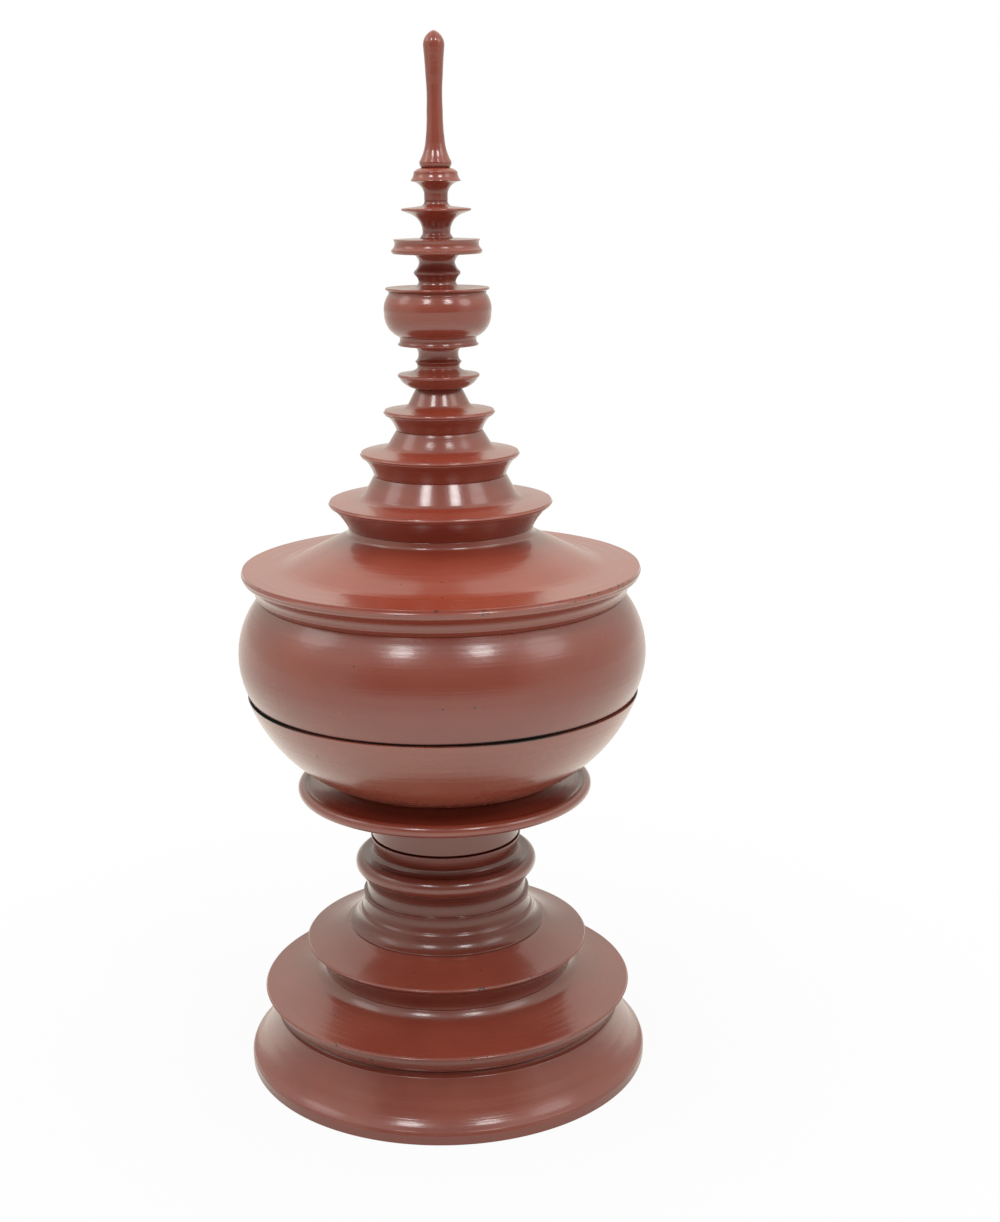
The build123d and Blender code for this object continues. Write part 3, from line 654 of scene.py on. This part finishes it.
# Lid roof. A turned ring glued on the dome: an undercut flange with a thick lip, a nearly flat
# ledge, a wide cone and a short neck under the first tier. It is hollow inside.
tier_radius = span("lid_tier_lower")[2]
first_neck = tier_radius - 10.0
roof_hole = first_neck - 5.0
lid_hollow = lid_neck - 5.2

ledge_corner = (81.5, 271.3)
cone_top = (first_neck + 0.8, roof_top - 3.5)

worn_lip = [(roof_radius, roof_bottom + 12.6), (roof_radius - LIP_ROUND, roof_bottom + 15.0)]
red_roof = red_lacquer("Red lacquer on the roof", edges=worn_lip)

outline = pen(lid_hollow, roof_bottom)
line(outline, lid_neck, roof_bottom)
line(outline, lid_neck + 2.0, roof_bottom + 2.8)
line(outline, lid_neck + 2.0, roof_bottom + 3.8)
arc(outline, roof_radius - 1.4, roof_bottom + 10.0, 1.0)
lip(outline, roof_radius, roof_bottom + 10.0, 5.0)
cove(outline, ledge_corner, cone_top, 5.0)
cove(outline, cone_top, (first_neck, roof_top), 1.4)
line(outline, first_neck, roof_top)
line(outline, roof_hole, roof_top)
line(outline, roof_hole, roof_top - 6.0)
arc(outline, lid_hollow, roof_bottom + 10.0, -5.6)
line(outline, lid_hollow, roof_bottom)
turned(
    outline, "lid_roof_turned", "lid", "lid_roof", (red_roof, black_coat), inside=faces_axis
)


# Tiers of the lid. Three turned discs, each with a low neck, a flat ledge with a thin lip, and a
# steep cone that meets the ledge in a tight cove. The top one is solid and takes the spire.
TIER_LIP = 3.2
spire_bottom, spire_top, spire_radius = span("spire_foot")
peak_radius = 11.6
tiers = {
    "lid_tier_lower": dict(neck=first_neck, neck_height=10.4, corner=(40.0, 306.0)),
    "lid_tier_middle": dict(neck=33.6, neck_height=8.6, corner=(27.3, 331.5)),
    "lid_tier_upper": dict(neck=21.8, neck_height=7.0, corner=(16.4, 352.0)),
}
necks_above = [33.6, 21.8, peak_radius]

for (node_name, tier), neck_above in zip(tiers.items(), necks_above):
    bottom, top, radius = span(node_name)
    solid = node_name == "lid_tier_upper"
    bore = 5.5 if solid else neck_above - 5.0
    bore_bottom = spire_bottom - 0.6 if solid else bottom
    outline = pen(0, bottom) if solid else pen(bore, bottom)
    line(outline, tier["neck"], bottom)
    arc(outline, radius - LIP_STEP, bottom + tier["neck_height"], 0.6)
    lip(outline, radius, bottom + tier["neck_height"], TIER_LIP)
    cove(outline, tier["corner"], (neck_above, top), 2.6)
    line(outline, neck_above, top)
    line(outline, bore, top)
    line(outline, bore, bore_bottom)
    if solid:
        line(outline, 0, bore_bottom)
    turned(outline, node_name + "_turned", "lid", node_name, red_wood)


# Spire foot. A loose tenon that drops into the peak, a thick dished disc, a sharp bead and a flare
# that carries the alms bowl.
alms_bottom, alms_top, alms_radius = span("alms_bowl")
spire_tenon = 5.0
peg_radius = 4.0
peg_length = 7.0
spire_shoulder = spire_bottom + 20.0
disc_under = spire_shoulder + 5.5
disc_top = disc_under + 1.9
bead_height = disc_top + 2.7 + 3.4

outline = pen(0, spire_bottom)
line(outline, spire_tenon, spire_bottom)
line(outline, spire_tenon, spire_shoulder)
line(outline, peak_radius, spire_shoulder)
arc(outline, spire_radius - LIP_ROUND, disc_under, -1.2)
arc(outline, spire_radius - LIP_ROUND, disc_top, -LIP_ROUND)
arc(outline, 10.7, disc_top + 2.7, 0.8)
arc(outline, 11.8, bead_height, 0.5)
arc(outline, 10.1, bead_height + 3.6, 0.6)
arc(outline, 13.0, alms_bottom, 0.9)
line(outline, peg_radius, alms_bottom)
line(outline, peg_radius, spire_top)
line(outline, 0, spire_top)
turned(outline, "spire_foot_turned", "spire", "spire_foot", red_wood)


# Alms bowl. A small turned copy of a monk's bowl on a flared foot ring, solid but for its peg
# holes.
cover_bottom, cover_top, cover_radius = span("alms_bowl_cover")
alms_base = alms_bottom + 4.3
alms_mouth = 24.3
cover_seat = alms_top
peg_hole = peg_radius + GLUE_LINE

outline = pen(0, alms_bottom + peg_length + 0.6)
line(outline, peg_hole, alms_bottom + peg_length + 0.6)
line(outline, peg_hole, alms_bottom)
line(outline, 20.4 - LIP_ROUND, alms_bottom)
arc(outline, 20.4 - LIP_ROUND, alms_bottom + 1.1, -0.5)
arc(outline, 19.4, alms_base, 0.4)
arc(outline, alms_radius, alms_base + 11.2, -2.1)
arc(outline, alms_mouth, cover_seat - 1.2, -1.1)
line(outline, alms_mouth, cover_seat)
line(outline, peg_radius, cover_seat)
line(outline, peg_radius, cover_seat - peg_length)
line(outline, 0, cover_seat - peg_length)
turned(outline, "alms_bowl_turned", "spire", "alms_bowl", red_wood)


# Cover of the alms bowl. A thin dished disc on the mouth, a drawn-in neck and a sharp bead.
ring_bottom, ring_peg_top, ring_radius = span("double_ring")
cover_face = cover_seat + 1.8
cover_bead = 11.6

outline = pen(0, cover_bottom)
line(outline, peg_radius - GLUE_LINE, cover_bottom)
line(outline, peg_radius - GLUE_LINE, cover_seat)
line(outline, alms_mouth, cover_seat)
arc(outline, cover_radius, cover_seat + 1.1, -0.2)
arc(outline, cover_radius - 0.35, cover_face, -0.1)
arc(outline, 13.0, cover_face, 0.7)
arc(outline, 9.3, cover_face + 2.7, 0.9)
arc(outline, cover_bead, ring_bottom - 1.4, 0.5)
line(outline, cover_bead, ring_bottom)
line(outline, peg_radius, ring_bottom)
line(outline, peg_radius, cover_top)
line(outline, 0, cover_top)
turned(outline, "alms_cover_turned", "spire", "alms_bowl_cover", red_wood)


# Double ring. Two lips with a groove between them, on a flared neck.
disc_bottom, disc_cap_top, disc_radius = span("spire_disc")
ring_under = ring_bottom + 8.6
ring_groove = ring_under + 2.0
ring_top = ring_groove + 5.0

outline = pen(0, ring_bottom + peg_length + 0.6)
line(outline, peg_hole, ring_bottom + peg_length + 0.6)
line(outline, peg_hole, ring_bottom)
line(outline, cover_bead, ring_bottom)
arc(outline, 8.9, ring_bottom + 4.3, 0.5)
arc(outline, 12.4, ring_under, 0.8)
line(outline, ring_radius - LIP_ROUND, ring_under)
arc(outline, ring_radius, ring_groove, -0.35)
arc(outline, ring_radius - 1.6, ring_groove + 2.5, 0.3)
arc(outline, ring_radius - 0.8, ring_top, 0.3)
line(outline, 8.3, disc_bottom)
line(outline, peg_radius, disc_bottom)
line(outline, peg_radius, ring_peg_top)
line(outline, 0, ring_peg_top)
turned(outline, "double_ring_turned", "spire", "double_ring", red_wood)


# Spire disc. The thinnest disc, on a neck like a trumpet, bored from above for the finial.
finial_bottom, finial_top, finial_radius = span("finial_collar")
disc_edge = disc_bottom + 2.0 + 9.8
disc_lip = disc_edge + 1.2
disc_face = disc_lip + 1.3
cap_radius = 5.8
finial_tenon = 3.2
finial_bore = finial_tenon + 0.5

outline = pen(0, disc_bottom + peg_length + 0.6)
line(outline, peg_hole, disc_bottom + peg_length + 0.6)
line(outline, peg_hole, disc_bottom)
line(outline, 8.3, disc_bottom)
line(outline, 6.9, disc_bottom + 2.0)
arc(outline, 13.2, disc_edge, 2.0)
line(outline, disc_radius - LIP_ROUND, disc_lip)
arc(outline, disc_radius - LIP_ROUND, disc_face, -0.6)
line(outline, cap_radius + 2.4, disc_face + 1.0)
arc(outline, cap_radius, disc_cap_top, 0.7)
line(outline, finial_bore, disc_cap_top)
line(outline, finial_bore, finial_bottom - 0.6)
line(outline, 0, finial_bottom - 0.6)
turned(outline, "spire_disc_turned", "spire", "spire_disc", red_wood)


# Collar of the finial. A flared ring on a short neck, with a tenon that lifts out of the spire. The
# neck is darkened to near black in patches.
bud_bottom, bud_top, bud_radius = span("finial_bud")
bud_seat = finial_top
collar_cone = disc_cap_top + 3.6
collar_edge = collar_cone + 5.9
shoulder = collar_edge + 4.4
bud_peg = 2.6

red_finial = red_lacquer("Red lacquer on the finial's collar", seam=(disc_cap_top + 1.8, 3.0))

outline = pen(0, finial_bottom)
line(outline, finial_tenon, finial_bottom)
line(outline, finial_tenon, disc_cap_top)
line(outline, cap_radius, disc_cap_top)
line(outline, cap_radius, collar_cone)
arc(outline, finial_radius, collar_edge, 1.6)
line(outline, finial_radius - 0.35, collar_edge + 0.7)
arc(outline, 10.8, shoulder, 0.35)
arc(outline, 7.0, bud_seat, -0.35)
line(outline, bud_peg + GLUE_LINE, bud_seat)
line(outline, bud_peg + GLUE_LINE, bud_bottom - 0.6)
line(outline, 0, bud_bottom - 0.6)
turned(outline, "finial_collar_turned", "finial", "finial_collar", red_finial)


# Bud. The long closed flower at the very top, turned thin at the waist.
outline = pen(0, bud_bottom)
line(outline, bud_peg, bud_bottom)
line(outline, bud_peg, bud_seat)
line(outline, 7.0, bud_seat)
arc(outline, bud_radius, bud_seat + 2.9, -0.35)
arc(outline, 4.7, bud_seat + 13.0, 0.6)
arc(outline, 3.95, bud_seat + 27.0, 0.25)
arc(outline, 4.2, bud_seat + 43.0, 0.3)
arc(outline, 5.1, bud_seat + 56.0, 0.1)
arc(outline, 0, bud_top, -1.8)
turned(outline, "bud_turned", "finial", "finial_bud", red_wood)


# Studio. A pale floor and a white surround. The gloss sees a room with a dim front, bright walls
# and a dim patch overhead, and daylight falls mostly from above. Two small soft lamps stand in
# front and two larger ones at the sides.
FLOOR_SIZE = 4.0

bm = bmesh.new()
bmesh.ops.create_grid(bm, x_segments=1, y_segments=1, size=FLOOR_SIZE)
floor_mesh = bpy.data.meshes.new("floor")
bm.to_mesh(floor_mesh)
bm.free()
floor = bpy.data.objects.new("floor", floor_mesh)
bpy.context.scene.collection.objects.link(floor)
floor_material = bpy.data.materials.new("Pale floor")
floor_material.use_nodes = True
tree = floor_material.node_tree
tree.nodes.clear()
path = node(tree, "LightPath", {})
seen = maths(tree, "MAXIMUM", path["Is Camera Ray"], path["Is Glossy Ray"])
away = node(tree, "VectorMath", {0: node(tree, "TexCoord", {})["Object"]}, operation="LENGTH")["Value"]
paint = node(tree, "BsdfDiffuse", {"Color": (0.6, 0.6, 0.6, 1)})[0]
# Near the vessel the floor glows up to 1.4 in reflections: a painted reflection that lightens the bowl's
# underside.
extra_gloss_glow = maths(tree, "ADD", ramp(tree, away, 0.1, 0.24, 0.0, 0.4), ramp(tree, away, 0.35, 0.8, 0.0, -0.3))
strength = maths(tree, "MULTIPLY_ADD", path["Is Glossy Ray"], extra_gloss_glow, 1.0)
tint = blend(tree, path["Is Glossy Ray"], (1, 1, 1, 1), (1, 0.96, 0.86, 1))
glow = node(tree, "Emission", {"Color": tint, "Strength": strength})[0]
share = maths(tree, "MULTIPLY", seen, ramp(tree, away, 0.1, 0.5, 0.93, 1.0))
surface = node(tree, "MixShader", {0: share, 1: paint, 2: glow})[0]
node(tree, "OutputMaterial", {"Surface": surface})
floor_mesh.materials.append(floor_material)

world = bpy.data.worlds.new("Studio")
bpy.context.scene.world = world
world.use_nodes = True
tree = world.node_tree
tree.nodes.clear()
x, y, z = node(tree, "SeparateXYZ", {0: node(tree, "TexCoord", {})["Generated"]})
path = node(tree, "LightPath", {})
angle = maths(tree, "ARCTAN2", x, maths(tree, "MULTIPLY", y, -1.0))
aside = ramp(tree, maths(tree, "ABSOLUTE", angle), radians(35), radians(60))
front_level = ramp(tree, z, 0.0, 0.8, 0.3, 0.5)
walls = maths(tree, "MULTIPLY", ramp(tree, z, 0.25, 0.45, 0.85, 1.1), ramp(tree, z, 0.94, 0.99, 1.0, 0.6))
behind = ramp(tree, y, -0.05, 0.25)
ceiling = maths(tree, "MULTIPLY", behind, ramp(tree, z, 0.95, 0.99))
at_front = maths(tree, "MULTIPLY", maths(tree, "SUBTRACT", 1.0, aside), front_level)
room = maths(tree, "ADD", maths(tree, "MULTIPLY", aside, walls), at_front)
open_sky = maths(tree, "SUBTRACT", 1.0, maths(tree, "MULTIPLY", ceiling, 0.8))
room = maths(tree, "MULTIPLY", room, open_sky)
gloss_sky = node(tree, "Background", {"Color": (1, 0.97, 0.87, 1), "Strength": room})[0]
white_sky = node(tree, "Background", {"Color": (1, 1, 1, 1), "Strength": 1.0})[0]
overhead = ramp(tree, z, 0.75, 1.0, 0.05, 2.8)
daylight = maths(tree, "MULTIPLY_ADD", z, 0.6, overhead)
soft_sky = node(tree, "Background", {"Color": (1, 1, 1, 1), "Strength": daylight})[0]
sky = node(tree, "MixShader", {0: path["Is Glossy Ray"], 1: soft_sky, 2: gloss_sky})[0]
sky = node(tree, "MixShader", {0: path["Is Camera Ray"], 1: sky, 2: white_sky})[0]
node(tree, "OutputWorld", {"Surface": sky})

lamps = {
    "key_right": dict(azimuth=27.0, elevation=46.6, distance=2.0, size=0.42, watts=6.2),
    "key_left": dict(azimuth=-28.0, elevation=46.6, distance=2.0, size=0.42, watts=6.2),
    "side_right": dict(azimuth=68.0, elevation=36.0, distance=2.0, size=0.8, watts=3.0),
    "side_left": dict(azimuth=-90.0, elevation=38.0, distance=2.0, size=0.8, watts=2.5),
}
aim = Vector((0, 0, 0.22))
for name, lamp in lamps.items():
    light = bpy.data.lights.new(name, "AREA")
    light.shape = "DISK"
    light.size = lamp["size"]
    light.energy = lamp["watts"]
    holder = bpy.data.objects.new(name, light)
    bpy.context.scene.collection.objects.link(holder)
    azimuth, elevation = radians(lamp["azimuth"]), radians(lamp["elevation"])
    away = Vector((sin(azimuth) * cos(elevation), -cos(azimuth) * cos(elevation), sin(elevation)))
    holder.location = aim + away * lamp["distance"]
    holder.rotation_euler = away.to_track_quat("Z", "Y").to_euler()


# Camera. It stands where the photograph was taken from: a little above the vessel's waist,
# looking down on it from the front.
IMAGE_HEIGHT = 1222
FOCAL_PIXELS = 1736.0
camera_pitch = radians(13.83)
camera_yaw = radians(1.96)
camera_roll = radians(-0.41)
CAMERA_PLACE = (0, -0.8771, 0.4613)

reach = cos(camera_pitch)
forward = Vector((sin(camera_yaw) * reach, cos(camera_yaw) * reach, -sin(camera_pitch)))
level = Vector((cos(camera_yaw), -sin(camera_yaw), 0))
upright = level.cross(forward)
right = cos(camera_roll) * level + sin(camera_roll) * upright
upward = -sin(camera_roll) * level + cos(camera_roll) * upright
lens = bpy.data.cameras.new("camera")
lens.sensor_width = 36.0
lens.lens = lens.sensor_width * FOCAL_PIXELS / IMAGE_HEIGHT
camera = bpy.data.objects.new("camera", lens)
bpy.context.scene.collection.objects.link(camera)
facing = Matrix((right, upward, -forward)).transposed().to_4x4()
camera.matrix_world = Matrix.Translation(CAMERA_PLACE) @ facing
bpy.context.scene.camera = camera
bpy.context.scene.view_settings.view_transform = "Standard"
